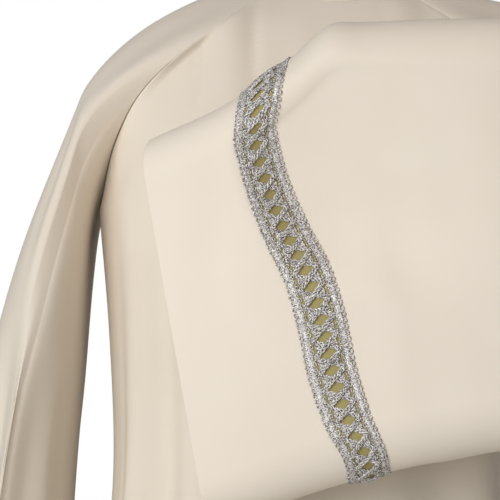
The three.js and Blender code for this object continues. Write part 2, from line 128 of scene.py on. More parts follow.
# Body: sections by their drop below the neck, all in mm
body = {
    "armpitDrop": 222,
    "hemDrop": 1420,
    "roundness": 0.9,
    "sections": [
        {"drop": 222, "size": (222, 130, -5)},     # half width, half depth, centre in y
        {"drop": 340, "size": (211, 132, -6)},
        {"drop": 470, "size": (206, 131, -4)},
        {"drop": 640, "size": (222, 147, 0)},
        {"drop": 930, "size": (258, 186, 4)},
        {"drop": 1420, "size": (318, 240, 6)},
    ],
    # Long folds: degrees round from the front, half width in degrees, depth, drop where it starts
    "folds": [
        (-78, 11, 40, 430), (-56, 12, 45, 80), (-34, 11, 38, 50), (-12, 12, 46, 260),
        (10, 11, 39, 300), (31, 11, 43, 170), (54, 12, 46, 230), (77, 11, 38, 450),
        (101, 12, 42, 470), (124, 12, 46, 230), (145, 10, 37, 170), (166, 12, 45, 230),
        (189, 12, 43, 260), (211, 11, 39, 180), (233, 12, 46, 240), (257, 11, 38, 480),
    ],
    # Folds start slightly open, are full before the hem and fade near the top of the side seams
    "foldHeadStart": 0.06, "foldHaste": 1.1, "sideSeamCalm": 22, "calmDrop": 360,
    "yokeEasing": 0.35,    # share of the yoke's narrowing that eases in and out
}

neckline = {
    "halfWidth": 75, "centreY": -11, "halfDepth": 59,
    "frontAngle": 58, "backAngle": 125,
    "low": 7.5, "slope": 19, "saddle": 7.5,
    "bandHeight": 30, "bandLean": 7,
}

frontRaglan = [(0, 222, -5, -222), (0.3, 203, -66, -165), (0.52, 178, -90, -124), (0.82, 110, -91, -62)]
backRaglan = [(0, 222, -5, -222), (0.3, 205, 52, -166), (0.55, 176, 78, -112), (0.82, 112, 72, -40)]

frontPanel = {
    "name": "alb_front", "node": "front_panel", "start": -90, "end": 90, "neckStart": -58, "neckEnd": 58,
    "seam": frontRaglan, "rise": (-6, 200), "lean": (90, 120), "firstSide": -1,
}
backPanel = {
    "name": "alb_back", "node": "back_panel", "start": 90, "end": 270, "neckStart": 125, "neckEnd": 235,
    "seam": backRaglan, "rise": (4, 190), "lean": (-84, 160), "firstSide": 1,
}


def bodyFoldDepth(angle, drop):
    depth = np.zeros(np.broadcast(angle, drop).shape)
    for middle, spread, deep, start in body["folds"]:
        apart = (angle - middle + 540) % 360 - 180
        grown = ease((drop - start) / (body["hemDrop"] - start) * body["foldHaste"] + body["foldHeadStart"])
        depth = depth + deep * grown * hump(apart / spread)
    fromSide = np.abs(np.abs((angle + 540) % 360 - 180) - 90)
    besideSeam = 1 - ease(fromSide / body["sideSeamCalm"])
    nearArmpit = ease((body["calmDrop"] - drop) / (body["calmDrop"] - body["armpitDrop"]))
    return depth * (1 - besideSeam * nearArmpit)


def bodyPoint(angle, drop, folds=1):
    angle, drop = np.broadcast_arrays(np.asarray(angle, float), np.asarray(drop, float))
    s, c = np.sin(np.radians(angle)), np.cos(np.radians(angle))
    size = along(column(body["sections"], "drop"), column(body["sections"], "size"), drop)
    rounded = body["roundness"]
    x = size[..., 0] * np.sign(s) * np.abs(s) ** rounded
    y = size[..., 2] - size[..., 1] * np.sign(c) * np.abs(c) ** rounded
    out = folds * bodyFoldDepth(angle, drop)
    return np.stack([x + out * s, y - out * c, -drop], -1)


def neckPoint(angle, height=0):
    angle, height = np.broadcast_arrays(np.asarray(angle, float), np.asarray(height, float))
    s, c = np.sin(np.radians(angle)), np.cos(np.radians(angle))
    inward = neckline["bandLean"] * height / neckline["bandHeight"]
    base = -neckline["low"] - neckline["slope"] * c - neckline["saddle"] * np.cos(2 * np.radians(angle))
    return np.stack([
        (neckline["halfWidth"] - inward) * s,
        neckline["centreY"] - (neckline["halfDepth"] - inward) * c,
        base + height,
    ], -1)


def raglanPoint(seam, side, at):
    angle = neckline["frontAngle"] if seam is frontRaglan else neckline["backAngle"]
    rows = [row[1:] for row in seam] + [tuple(neckPoint(angle))]
    point = along([row[0] for row in seam] + [1], rows, at)
    return point * np.array([side, 1, 1])


def yokeClimb(panel, across, up):
    low = bodyPoint(mix(panel["start"], panel["end"], across), body["armpitDrop"], 0)
    high = neckPoint(mix(panel["neckStart"], panel["neckEnd"], across))
    return np.stack([
        mix(low[..., 0], high[..., 0], mix(up, ease(up), body["yokeEasing"])),
        hermite(low[..., 1], panel["rise"][0], high[..., 1], panel["lean"][0], up),
        hermite(low[..., 2], panel["rise"][1], high[..., 2], panel["lean"][1], up),
    ], -1)


def yokePoint(panel, across, up):
    firstOff = raglanPoint(panel["seam"], panel["firstSide"], up) - yokeClimb(panel, 0 * across, up)
    lastOff = raglanPoint(panel["seam"], -panel["firstSide"], up) - yokeClimb(panel, 0 * across + 1, up)
    point = yokeClimb(panel, across, up)
    point = point + firstOff * (np.maximum(0, 1 - 2 * across) ** 2)[..., None]
    point = point + lastOff * (np.maximum(0, 2 * across - 1) ** 2)[..., None]
    angle = mix(panel["start"], panel["end"], across)
    out = bodyFoldDepth(angle, np.minimum(-point[..., 2], body["armpitDrop"])) * (1 - up)
    point[..., 0] += out * np.sin(np.radians(angle))
    point[..., 1] -= out * np.cos(np.radians(angle))
    return point


# Sleeves: columns round the tube run from 0 at the underarm line to 14 at the crest and on to 28
sleeve = {
    "half": 14, "round": 28, "neckColumns": 4, "cuffAt": 683,
    "trimMiddle": 574, "trimReach": 105,
}

leftSleeve = {
    "name": "alb_left_sleeve", "node": "left_sleeve", "side": 1,
    "keelColumns": 3, "sideColumns": 6, "crestColumns": 5,
    # along, crest xyz, keel xyz, heading, half widths and caps at crest and keel
    "sections": [
        (120, 236, -100, -60, 250, -100, -340, 272, 52, 36, 50, 34),
        (210, 243, -190, -88, 250, -196, -400, 266, 52, 34, 50, 32),
        (255, 233, -233, -100, 240, -236, -420, 240, 52, 33, 50, 31),
        (300, 202, -264, -107, 214, -266, -436, 210, 52, 32, 50, 30),
        (344, 159, -275, -110, 182, -274, -446, 182, 52, 32, 50, 30),
        (443, 60, -272, -110, 108, -268, -452, 174, 52, 32, 50, 42),
        (495, 9, -267, -111, 71, -262, -459, 170, 51, 31, 50, 42),
        (515, -10, -266, -111, 57, -260, -461, 168, 51, 31, 50, 42),
        (555, -44, -260, -138, 29, -252, -467, 165, 50, 30, 50, 42),
        (593, -81, -254, -165, -3, -245, -475, 163, 48, 29, 48, 41),
        (683, -156, -232, -198, -106, -224, -508, 160, 40, 26, 40, 34),
    ],
    "leaving": [(60, -24, -60), (70, -110, -16), (200, -20, -50), (160, 40, -20)],
    # along, column, slope, how far behind and ahead, half width in columns, depth
    "folds": [
        (551, 20.2, -0.012, 90, 52, 1.45, -18),
        (250, 21, 0, 120, 120, 1.3, -9),
        (330, 8, 0, 60, 60, 1.6, -12),
    ],
    # column, shift of the galloon's line, how much of its width a slope takes up
    "sway": [
        (14, 0, 0), (17, 3, 0), (18, 8, 0.06), (19, 15, 0.22), (20, 16, 0.26), (21, 11, 0.18),
        (22, 2, 0.08), (23, 0, -0.04), (24, 2, -0.05), (25, -1, -0.04), (26, -6, 0), (28, 0, 0),
    ],
}

rightSleeve = {
    "name": "alb_right_sleeve", "node": "right_sleeve", "side": -1,
    "keelColumns": 6, "sideColumns": 2, "crestColumns": 6,
    "sections": [
        (120, 237, 4, -110, 231, 0, -272, 0, 106, 98, 66, 66),
        (250, 290, 2, -254, 236, 0, -362, 0, 126, 120, 52, 50),
        (400, 326, -2, -398, 242, -4, -452, 0, 136, 131, 48, 46),
        (555, 352, -6, -554, 249, -8, -586, 0, 144, 140, 52, 50),
        (593, 358, -7, -592, 251, -9, -620, 0, 146, 142, 53, 51),
        (683, 371, -9, -682, 255, -11, -704, 0, 150, 146, 58, 56),
    ],
    "leaving": [(30, 0, -60), (90, 8, -50), (205, 0, -18), (90, 20, -50)],
    "folds": [
        (520, 9.6, 0.002, 330, 330, 1.2, -32),
        (500, 4.6, 0, 300, 300, 1.1, -15),
        (540, 17.8, -0.003, 330, 330, 1.2, -34),
        (480, 22, 0.002, 280, 280, 1.2, -24),
    ],
    "sway": [],
}


def seamRing(place):
    ends = (sleeve["round"] - sleeve["neckColumns"]) / 2
    front = raglanPoint(frontRaglan, 1, np.clip(place / ends, 0, 1))
    back = raglanPoint(backRaglan, 1, np.clip((sleeve["round"] - place) / ends, 0, 1))
    neckShare = (place - ends) / sleeve["neckColumns"]
    neck = neckPoint(mix(neckline["frontAngle"], neckline["backAngle"], neckShare))
    place = place[..., None]
    return np.where(place <= ends, front, np.where(place >= ends + sleeve["neckColumns"], back, neck))


def tubePoint(part, at, place):
    at, place = np.broadcast_arrays(np.asarray(at, float), np.asarray(place, float))
    if part["sway"]:
        table = np.array(part["sway"], float)
        swayHere = along(table[:, 0], table[:, 1:], np.maximum(place, sleeve["half"]))
        swayHere = swayHere * (place >= sleeve["half"])[..., None]
        reach = hump((at - sleeve["trimMiddle"]) / sleeve["trimReach"])
        read = at + (swayHere[..., 0] + swayHere[..., 1] * (sleeve["trimMiddle"] - at)) * reach
    else:
        read = at
    rows = np.array(part["sections"], float)
    values = along(rows[:, 0], rows[:, 1:], np.minimum(read, sleeve["cuffAt"]))
    crest, keel = values[..., 0:3], values[..., 3:6]
    heading = np.radians(values[..., 6])
    crestHalf, keelHalf, crestCap, keelCap = (values[..., i, None] for i in range(7, 11))
    outward = np.stack([-np.sin(heading), np.cos(heading), 0 * heading], -1)
    upward = unit(crest - keel)
    high = crest - upward * crestCap
    low = keel + upward * keelCap
    outer = place > sleeve["half"]
    local = np.where(outer, sleeve["round"] - place, place)
    side = np.where(outer, 1.0, -1.0)[..., None]
    keelEnd = part["keelColumns"]
    sideEnd = keelEnd + part["sideColumns"]
    turn = (np.clip(local / keelEnd, 0, 1) * np.pi / 2)[..., None]
    keelPoint = low - upward * keelCap * np.cos(turn) + outward * side * keelHalf * np.sin(turn)
    keelNormal = outward * side * np.sin(turn) - upward * np.cos(turn)
    share = np.clip((local - keelEnd) / part["sideColumns"], 0, 1)[..., None]
    flatPoint = mix(low, high, share) + outward * side * mix(keelHalf, crestHalf, share)
    flatNormal = outward * side
    turn = (np.clip((local - sideEnd) / part["crestColumns"], 0, 1) * np.pi / 2)[..., None]
    crestPoint = high + upward * crestCap * np.sin(turn) + outward * side * crestHalf * np.cos(turn)
    crestNormal = outward * side * np.cos(turn) + upward * np.sin(turn)
    onKeel, onSide = (local < keelEnd)[..., None], (local < sideEnd)[..., None]
    point = np.where(onKeel, keelPoint, np.where(onSide, flatPoint, crestPoint))
    normal = np.where(onKeel, keelNormal, np.where(onSide, flatNormal, crestNormal))
    for foldAt, foldColumn, slope, behind, ahead, spread, depth in part["folds"]:
        line = foldColumn + slope * (at - foldAt)
        length = np.where(at < foldAt, behind, ahead)
        size = hump((at - foldAt) / length) * hump((place - line) / (2 * spread))
        point = point + normal * (depth * size)[..., None]
    return point


def leavingAt(part, place):
    turn = (2 * np.pi * place / sleeve["round"])[..., None]
    keel, inner, crest, outer = (np.array(v, float) for v in part["leaving"])
    mean = (keel + inner + crest + outer) / 4
    second = (keel - inner + crest - outer) / 4
    return (mean + (keel - crest) / 2 * np.cos(turn) + (inner - outer) / 2 * np.sin(turn)
            + second * np.cos(2 * turn))


def sleevePoint(part, at, place):
    at, place = np.broadcast_arrays(np.asarray(at, float), np.asarray(place, float))
    first = part["sections"][0][0]
    tube = tubePoint(part, np.maximum(at, first), place)
    end = tubePoint(part, np.full(at.shape, float(first)), place)
    arrive = (tubePoint(part, np.full(at.shape, first + 1.0), place) - end) * first
    share = np.clip(at / first, 0, 1)[..., None]
    shoulder = hermite(seamRing(place), leavingAt(part, place), end, arrive, share)
    point = np.where((at >= first)[..., None], tube, shoulder)
    return point * np.array([part["side"], 1, 1])


# Cloth shells: a grid of outside points, a grid moved in by the wall, and rounded edges

def gridNormals(grid, closed):
    if closed:
        acrossGrid = np.roll(grid, -1, 1) - np.roll(grid, 1, 1)
    else:
        acrossGrid = np.gradient(grid, axis=1)
    upGrid = np.gradient(grid, axis=0)
    return unit(np.cross(acrossGrid, upGrid))


def gridLengths(grid, closed):
    ring = np.concatenate([grid, grid[:, :1]], 1) if closed else grid
    aroundSteps = np.linalg.norm(np.diff(ring, axis=1), axis=-1)
    around = np.concatenate([np.zeros((len(grid), 1)), np.cumsum(aroundSteps, 1)], 1)
    upSteps = np.linalg.norm(np.diff(ring, axis=0), axis=-1)
    up = np.concatenate([np.zeros((1, ring.shape[1])), np.cumsum(upSteps, 0)], 0)
    return around, up


def facesFromGrid(grid, uv, closedAround, closedLoop):
    rows, columns = grid.shape[:2]
    index = np.arange(rows * columns).reshape(rows, columns)
    if closedAround:
        index = np.concatenate([index, index[:, :1]], 1)
    rowList = np.arange(rows + 1) % rows if closedLoop else np.arange(rows)
    cells = index[rowList]
    faces = np.stack([cells[:-1, :-1], cells[:-1, 1:], cells[1:, 1:], cells[1:, :-1]], -1).reshape(-1, 4)
    places = uv[rowList] if closedLoop else uv
    corners = np.stack([places[:-1, :-1], places[:-1, 1:], places[1:, 1:], places[1:, :-1]], 2)
    return faces, corners.reshape(-1, 2)


def buildMesh(name, points, faces, cornerUv, material):
    points = np.asarray(points, float).reshape(-1, 3) * mm
    a, b, c, d = (points[faces[:, i]] for i in range(4))
    volume = np.einsum("ij,ij->", a, np.cross(b, c)) + np.einsum("ij,ij->", a, np.cross(c, d))
    if volume < 0:
        faces = faces[:, ::-1]
        cornerUv = cornerUv.reshape(-1, 4, 2)[:, ::-1].reshape(-1, 2)
    mesh = bpy.data.meshes.new(name)
    mesh.vertices.add(len(points))
    mesh.vertices.foreach_set("co", points.astype(np.float32).ravel())
    mesh.loops.add(faces.size)
    mesh.loops.foreach_set("vertex_index", faces.astype(np.int32).ravel())
    mesh.polygons.add(len(faces))
    mesh.polygons.foreach_set("loop_start", np.arange(0, faces.size, 4, dtype=np.int32))
    mesh.update(calc_edges=True)
    layer = mesh.uv_layers.new(name="millimetres")
    layer.data.foreach_set("uv", cornerUv.astype(np.float32).ravel())
    mesh.polygons.foreach_set("use_smooth", np.ones(len(faces), bool))
    mesh.validate()
    mesh.materials.append(material)
    return addObject(name, mesh)


edge = {
    "steps": 3, "seamDip": 0.3, "seamWidth": 1.7, "seamGap": 0.02, "seamRound": 0.02,
    "dipInside": 0.4,    # share of a seam's dip that shows on the inside
}


# How far each point is drawn in by the seams at the grid's ends and sides
def seamDips(grid, seams):
    across, up = gridLengths(grid, False)
    gaps = {"start": up, "end": up[-1:] - up, "left": across, "right": across[:, -1:] - across}
    dip = np.zeros(grid.shape[:2])
    for seam in seams:
        dip += edge["seamDip"] * np.exp(-(gaps[seam] / edge["seamWidth"]) ** 2)
    return dip


def clothPiece(name, grid, wall, material, seams=(), closed=False):
    normals = gridNormals(grid, closed)
    # The side that faces out is found from the ring's own middle
    middle = grid.mean(axis=1, keepdims=True)
    if np.einsum("ijk,ijk->", normals, grid - middle) < 0:
        normals = -normals
    dip = seamDips(grid, seams)
    outerGrid = grid - normals * dip[..., None]
    innerGrid = grid - normals * (dip[..., None] * edge["dipInside"] + wall)
    around, up = gridLengths(grid, closed)
    uv = np.stack([around, up], -1)

    # Rows that round each end from the outside to the inside
    def rim(outerRow, innerRow, nextRow, isSeam):
        reach = edge["seamRound"] if isSeam else wall / 2
        away = unit(outerRow - nextRow)
        middleRow = (outerRow + innerRow) / 2
        rowsOut = []
        for i in range(1, edge["steps"]):
            turn = np.pi * i / edge["steps"]
            rowsOut.append(middleRow + (outerRow - middleRow) * np.cos(turn) + away * reach * np.sin(turn))
        return rowsOut

    endRim = rim(outerGrid[-1], innerGrid[-1], outerGrid[-2], "end" in seams)
    startRim = rim(innerGrid[0], outerGrid[0], innerGrid[1], "start" in seams)
    loop = np.concatenate([outerGrid, np.array(endRim), innerGrid[::-1], np.array(startRim)])
    rimUv = [uv[-1]] * len(endRim)
    startUv = [uv[0]] * len(startRim)
    loopUv = np.concatenate([uv, np.array(rimUv), uv[::-1], np.array(startUv)])
    faces, cornerUv = facesFromGrid(loop, loopUv, closed, True)
    if not closed:
        # The two side edges are closed by strips between the layers
        total, columns = loop.shape[:2]
        rows = len(grid)
        index = np.arange(total * columns).reshape(total, columns)
        outerIds = index[:rows]
        innerIds = index[rows + len(endRim):rows + len(endRim) + rows][::-1]
        strips, stripUv = [], []
        for col, flip in ((0, False), (columns - 1, True)):
            o, n = outerIds[:, col], innerIds[:, col]
            quads = np.stack([o[:-1], o[1:], n[1:], n[:-1]], -1)
            strips.append(quads[:, ::-1] if flip else quads)
            place = uv[:, col]
            stripUv.append(np.stack([place[:-1], place[1:], place[1:], place[:-1]], 1).reshape(-1, 2))
            endRing = [outerIds[-1, col], *index[rows:rows + len(endRim), col], innerIds[-1, col]]
            startRing = [innerIds[0, col], *index[total - len(startRim):, col], outerIds[0, col]]
            for ring in (endRing, startRing):
                cap = np.array([ring])
                strips.append(cap[:, ::-1] if flip else cap)
                stripUv.append(np.zeros((4, 2)))
        faces = np.concatenate([faces] + strips)
        cornerUv = np.concatenate([cornerUv] + stripUv)
    return buildMesh(name, loop, faces, cornerUv, material)


# Materials

def toLinear(hexColour):
    channels = [int(hexColour[i:i + 2], 16) / 255 for i in (1, 3, 5)]
    return tuple(c / 12.92 if c <= 0.04045 else ((c + 0.055) / 1.055) ** 2.4 for c in channels) + (1,)


def addNode(tree, kind, settings=None, inputs=None):
    node = tree.nodes.new(kind)
    for name, value in (settings or {}).items():
        setattr(node, name, value)
    for name, value in (inputs or {}).items():
        if isinstance(value, bpy.types.NodeSocket):
            tree.links.new(value, node.inputs[name])
        else:
            node.inputs[name].default_value = value
    return node


def newMaterial(name, settings):
    material = bpy.data.materials.new(name)
    material.use_nodes = True
    surface = material.node_tree.nodes["Principled BSDF"]
    for label, value in settings.items():
        surface.inputs[label].default_value = value
    return material, material.node_tree, surface


# Two tones of one cloth, mixed by a texture
def mixTones(tree, factor, look, surface):
    tone = addNode(tree, "ShaderNodeMix", {"data_type": "RGBA"}, {"Factor": factor})
    tone.inputs[6].default_value = toLinear(look["colour"])
    tone.inputs[7].default_value = toLinear(look["shade"])
    tree.links.new(tone.outputs[2], surface.inputs["Base Color"])


# Threads side by side, from the cloth's own coordinates in mm
def threadBands(tree, direction, spacing, distortion, detail):
    place = addNode(tree, "ShaderNodeUVMap", {"uv_map": "millimetres"})
    bands = addNode(tree, "ShaderNodeTexWave", {"bands_direction": direction}, {
        "Vector": place.outputs["UV"], "Scale": math.pi / 10 / spacing,
        "Distortion": distortion, "Detail": detail})
    return bands.outputs["Fac"]


def addBump(tree, surface, height, strength, distance):
    bump = addNode(tree, "ShaderNodeBump", inputs={
        "Height": height, "Strength": strength, "Distance": distance})
    tree.links.new(bump.outputs["Normal"], surface.inputs["Normal"])


clothLook = {
    "colour": "#ede4d6", "shade": "#e8decf",
    "threadSpacing": 0.45,     # mm; the real one is about half that and shows only close up
    "cloudSize": 60,           # mm, of the faint variation of a large piece of cloth
    "nap": 0.7,                # mm
}


# Polyester alb cloth, woven of fine spun yarn and pressed: matt, a soft sheen at grazing angles
def makeIvoryPolyester():
    material, tree, surface = newMaterial("ivory polyester cloth", {
        "Roughness": 0.82, "Sheen Weight": 0.12, "Sheen Roughness": 0.45, "Specular IOR Level": 0.25})
    place = addNode(tree, "ShaderNodeTexCoord")
    cloud = addNode(tree, "ShaderNodeTexNoise", inputs={
        "Vector": place.outputs["Object"], "Scale": 1000 / clothLook["cloudSize"], "Detail": 2.0})
    mixTones(tree, cloud.outputs["Fac"], clothLook, surface)
    weave = addNode(tree, "ShaderNodeMath", {"operation": "MULTIPLY"}, {
        0: threadBands(tree, "X", clothLook["threadSpacing"], 0.6, 1.0),
        1: threadBands(tree, "Y", clothLook["threadSpacing"], 0.6, 1.0)})
    nap = addNode(tree, "ShaderNodeTexNoise", inputs={
        "Vector": place.outputs["Object"], "Scale": 1000 / clothLook["nap"], "Detail": 1.0})
    height = addNode(tree, "ShaderNodeMath", {"operation": "ADD"}, {
        0: weave.outputs[0], 1: nap.outputs["Fac"]})
    addBump(tree, surface, height.outputs[0], 0.12, 0.0001)
    return material


# The bright and dull tones are painted light: glints and dim reflections of the metal, painted into the
# thread's colour
silverLook = {"bright": "#f2f0ee", "middle": "#c4c0be", "paintedDimReflection": "#625d5a", "speck": 0.7}


# Metallised film wound on thread, with painted glints: bright specks painted into its colour at random stand
# in for the film catching the lamps, dark specks are painted shade where it reflects the dim room, grey
# between
def makeSilverThread():
    material, tree, surface = newMaterial("silver metallised thread", {
        "Metallic": 0.3, "Roughness": 0.5, "Specular IOR Level": 0.3})
    place = addNode(tree, "ShaderNodeTexCoord")
    speck = addNode(tree, "ShaderNodeTexVoronoi", inputs={
        "Vector": place.outputs["Object"], "Scale": 1000 / silverLook["speck"]})
    chance = addNode(tree, "ShaderNodeSeparateColor", inputs={"Color": speck.outputs["Color"]})
    # The ramp paints the glints: bright specks are painted highlights, dull specks are painted dark
    # reflections
    ramp = addNode(tree, "ShaderNodeValToRGB", inputs={"Fac": chance.outputs["Red"]})
    stops = ramp.color_ramp.elements
    stops[0].position = 0.06
    stops[0].color = toLinear(silverLook["paintedDimReflection"])
    stops[1].position = 0.92
    stops[1].color = toLinear(silverLook["bright"])
    stops.new(0.45).color = toLinear(silverLook["middle"])
    tree.links.new(ramp.outputs["Color"], surface.inputs["Base Color"])
    addBump(tree, surface, speck.outputs["Distance"], 0.6, 0.0002)
    return material


goldLook = {"colour": "#b2a773", "shade": "#988e5b", "threadSpacing": 0.5}


# Flat satin ribbon of dull gold film, its threads lying along the braid
def makeGoldSatin():
    material, tree, surface = newMaterial("olive gold satin", {
        "Metallic": 0.1, "Roughness": 0.7, "Specular IOR Level": 0.2})
    lines = threadBands(tree, "X", goldLook["threadSpacing"], 1.5, 2.0)
    mixTones(tree, lines, goldLook, surface)
    addBump(tree, surface, lines, 0.3, 0.0001)
    return material


ivoryPolyester = makeIvoryPolyester()
silverThread = makeSilverThread()
goldSatin = makeGoldSatin()
print("materials made")


# Panels

panelDetail = {
    "wall": 1.2,
    "columns": 116,
    "edgeColumns": (0, 0.0012, 0.0026, 0.0044, 0.0068, 0.01, 0.014, 0.019),
    "skirtStep": 9.5,
    "hemRows": (0, 3, 8, 14, 20, 24, 26, 27.2, 28, 28.8, 30, 32, 36, 42),
    "hemStitch": 28, "hemDip": 0.5, "stitchWidth": 0.9,
    "edgeCalm": 0.06, "topCalm": 0.08,    # shares of the width and of the yoke where creases fade
    "mmADegree": 3.6,
    "yokeRows": 34, "yokeReach": 0.99,
    "topRows": (0.9955, 0.9975, 0.9988, 1),
    # Soft creases: degrees and drop at the top, degrees and drop at the bottom, half width in mm, depth
    "creases": [
        (-21, 60, -19.5, 420, 9, -3.2),
        (-30, 75, -33, 330, 12, 2.4),
        (-47, 130, -44, 520, 10, -2.4),
        (16, 120, 14, 560, 11, -2.6),
        (40, 110, 44, 480, 12, 2.2),
        (62, 170, 58, 640, 12, -2.6),
        (-66, 260, -70, 760, 12, 2.4),
        (-5, 520, -3, 900, 14, -3),
        (98, 250, 102, 700, 12, -2.6),
        (132, 150, 136, 520, 12, 2.6),
        (150, 90, 154, 430, 12, -2.8),
        (176, 120, 178, 620, 13, 2.6),
        (204, 100, 200, 470, 12, -2.8),
        (226, 170, 222, 600, 12, 2.4),
        (252, 260, 258, 720, 12, -2.6),
    ],
    # Left or right and drop at the top, the same at the bottom, half width, depth
    "straightFolds": [
        (-137, -80, -152, 250, 48, -5.5),
        (-98, -70, -99, 270, 22, 4.5),
        (-77, -60, -75, 250, 8, -2.4),
        (-122, -40, -128, 260, 10, -2.2),
        (-34, 20, -30, 330, 20, 2.6),
        (58, -50, 62, 280, 20, 3.6),
        (82, -40, 86, 260, 9, -2.4),
        (112, -20, 118, 290, 20, 3.4),
    ],
}


# Folds of the front that hang straight from the shoulders, placed in mm left or right of the middle
def straightFolds(x, drop):
    depth = np.zeros(x.shape)
    for xTop, dropTop, xLow, dropLow, halfWidth, deep in panelDetail["straightFolds"]:
        share = (drop - dropTop) / (dropLow - dropTop)
        line = mix(xTop, xLow, np.clip(share, 0, 1))
        depth = depth + deep * hump(2 * share - 1) * hump((x - line) / halfWidth)
    return depth


def bodyCreases(angle, drop):
    depth = np.zeros(np.broadcast(angle, drop).shape)
    for angleTop, dropTop, angleLow, dropLow, halfWidth, deep in panelDetail["creases"]:
        share = (drop - dropTop) / (dropLow - dropTop)
        line = mix(angleTop, angleLow, np.clip(share, 0, 1))
        apart = ((angle - line + 540) % 360 - 180) * panelDetail["mmADegree"]
        depth = depth + deep * hump(2 * share - 1) * hump(apart / (2 * halfWidth))
    return depth


def panelGrid(panel):
    edgeColumns = np.array(panelDetail["edgeColumns"])
    inner = np.linspace(edgeColumns[-1], 1 - edgeColumns[-1], panelDetail["columns"] + 1)[1:-1]
    across = np.concatenate([edgeColumns, inner, 1 - edgeColumns[::-1]])
    hem, armpit = body["hemDrop"], body["armpitDrop"]
    hemRows = hem - np.array(panelDetail["hemRows"], float)
    rest = np.linspace(hemRows[-1], armpit, int((hemRows[-1] - armpit) / panelDetail["skirtStep"]))[1:]
    drops = np.concatenate([hemRows, rest])
    yokeRows = np.linspace(0, panelDetail["yokeReach"], panelDetail["yokeRows"])[1:]
    ups = np.concatenate([yokeRows, panelDetail["topRows"]])
    angle = mix(panel["start"], panel["end"], across)[None, :]
    skirt = bodyPoint(angle, drops[:, None])
    yoke = yokePoint(panel, *np.broadcast_arrays(across[None, :], ups[:, None]))
    grid = np.concatenate([skirt, yoke])
    normals = gridNormals(grid, False)
    outward = np.stack([np.sin(np.radians(angle)), -np.cos(np.radians(angle)), 0 * angle], -1)
    if np.einsum("ijk,ijk->", normals, np.broadcast_to(outward, normals.shape)) < 0:
        normals = -normals
    drop = -grid[..., 2]
    nearEdge = ease(np.minimum(across, 1 - across) / panelDetail["edgeCalm"])[None, :]
    nearTop = np.concatenate([np.ones(len(drops)), ease((1 - ups) / panelDetail["topCalm"])])[:, None]
    lift = bodyCreases(np.broadcast_to(angle, drop.shape), drop)
    if panel is frontPanel:
        lift = lift + straightFolds(grid[..., 0], drop)
    lift = lift * nearEdge * nearTop
    fromStitch = hem - drop - panelDetail["hemStitch"]
    lift = lift - panelDetail["hemDip"] * np.exp(-(fromStitch / panelDetail["stitchWidth"]) ** 2)
    return grid + normals * lift[..., None]


# The rows and columns at seams are drawn back a little from the pieces next to them
def drawBack(grid, sides):
    moved = grid.copy()
    turned = moved.swapaxes(0, 1)
    flipped = grid.swapaxes(0, 1)
    for side, made, source, last, nextTo in (
            ("start", moved, grid, 0, 1), ("end", moved, grid, -1, -2),
            ("left", turned, flipped, 0, 1), ("right", turned, flipped, -1, -2)):
        if side in sides:
            made[last] += unit(source[nextTo] - source[last]) * edge["seamGap"]
    return moved


clothPieces = {}
for panel in (frontPanel, backPanel):
    seams = ("end", "left", "right")
    grid = drawBack(panelGrid(panel), seams)
    piece = clothPiece(panel["name"], grid, panelDetail["wall"], ivoryPolyester, seams)
    clothPieces[panel["node"]] = piece
    print(panel["name"], "made", len(piece.data.polygons), "faces")


# Sleeves

sleeveDetail = {
    "wall": 1.2,
    "columns": 224,
    "seamRows": (0, 0.7, 1.5, 2.4, 3.6, 5.2, 8, 12, 18),
    "cuffRows": (665, 672, 677, 680, 681.6, 682.6, 683),
    "step": 5.5,
    "seamCalm": 30,                          # mm from the seam over which creases fade
    "probeAlong": 0.5, "probeRound": 0.03,   # steps that find the surface's direction
    # Soft creases: along and column at one end, along and column at the other, half width in columns, depth
    "left": [
        (40, 17.4, 210, 18.6, 0.55, -3.2),
        (70, 22.5, 240, 20.4, 0.6, -3),
        (225, 9.5, 330, 6.5, 0.7, -3),
        (390, 22.1, 560, 20.1, 1.45, -9),
        (430, 22.6, 590, 21.2, 0.7, -7),
        (600, 19.6, 672, 21.6, 0.9, -3.4),
        (215, 18.2, 330, 22.5, 0.7, 2.2),
        (290, 24.6, 420, 21.8, 0.7, -1.6),
        (90, 3.5, 230, 6.5, 0.7, -2.6),
        (60, 10.5, 200, 9, 0.6, -2.6),
    ],
    "right": [
        (4, 10.6, 130, 9.9, 0.9, -4.5),
        (4, 12.2, 110, 12.1, 0.8, 3),
        (30, 17.5, 260, 18.6, 0.5, -3),
        (60, 10.6, 300, 9.4, 0.5, -3),
        (120, 13.6, 520, 14.4, 0.45, 2.4),
        (260, 6.4, 640, 6.9, 0.5, -3),
        (280, 20.4, 650, 20.9, 0.5, -3),
        (150, 25.4, 600, 25, 0.5, 2.4),
        (220, 2.4, 600, 2.2, 0.5, -2.4),
    ],
}


def sleeveCreases(part, at, place):
    depth = np.zeros(np.broadcast(at, place).shape)
    rows = sleeveDetail["left" if part["side"] > 0 else "right"]
    for firstAt, firstPlace, lastAt, lastPlace, halfWidth, deep in rows:
        share = (at - firstAt) / (lastAt - firstAt)
        line = mix(firstPlace, lastPlace, np.clip(share, 0, 1))
        apart = (place - line + sleeve["round"] + sleeve["half"]) % sleeve["round"] - sleeve["half"]
        depth = depth + deep * hump(2 * share - 1) * hump(apart / (2 * halfWidth))
    return depth


# Directions of a sleeve's surface: along it, round it and out of it
def surfaceWays(surface, part, at, place, probeAlong, probeRound):
    ahead, behind = at + probeAlong, np.maximum(at - probeAlong, 0)
    alongWay = surface(part, ahead, place) - surface(part, behind, place)
    oneWay, otherWay = (place + probeRound) % sleeve["round"], (place - probeRound) % sleeve["round"]
    roundWay = surface(part, at, oneWay) - surface(part, at, otherWay)
    return unit(alongWay), unit(roundWay), unit(np.cross(alongWay, roundWay)) * part["side"]


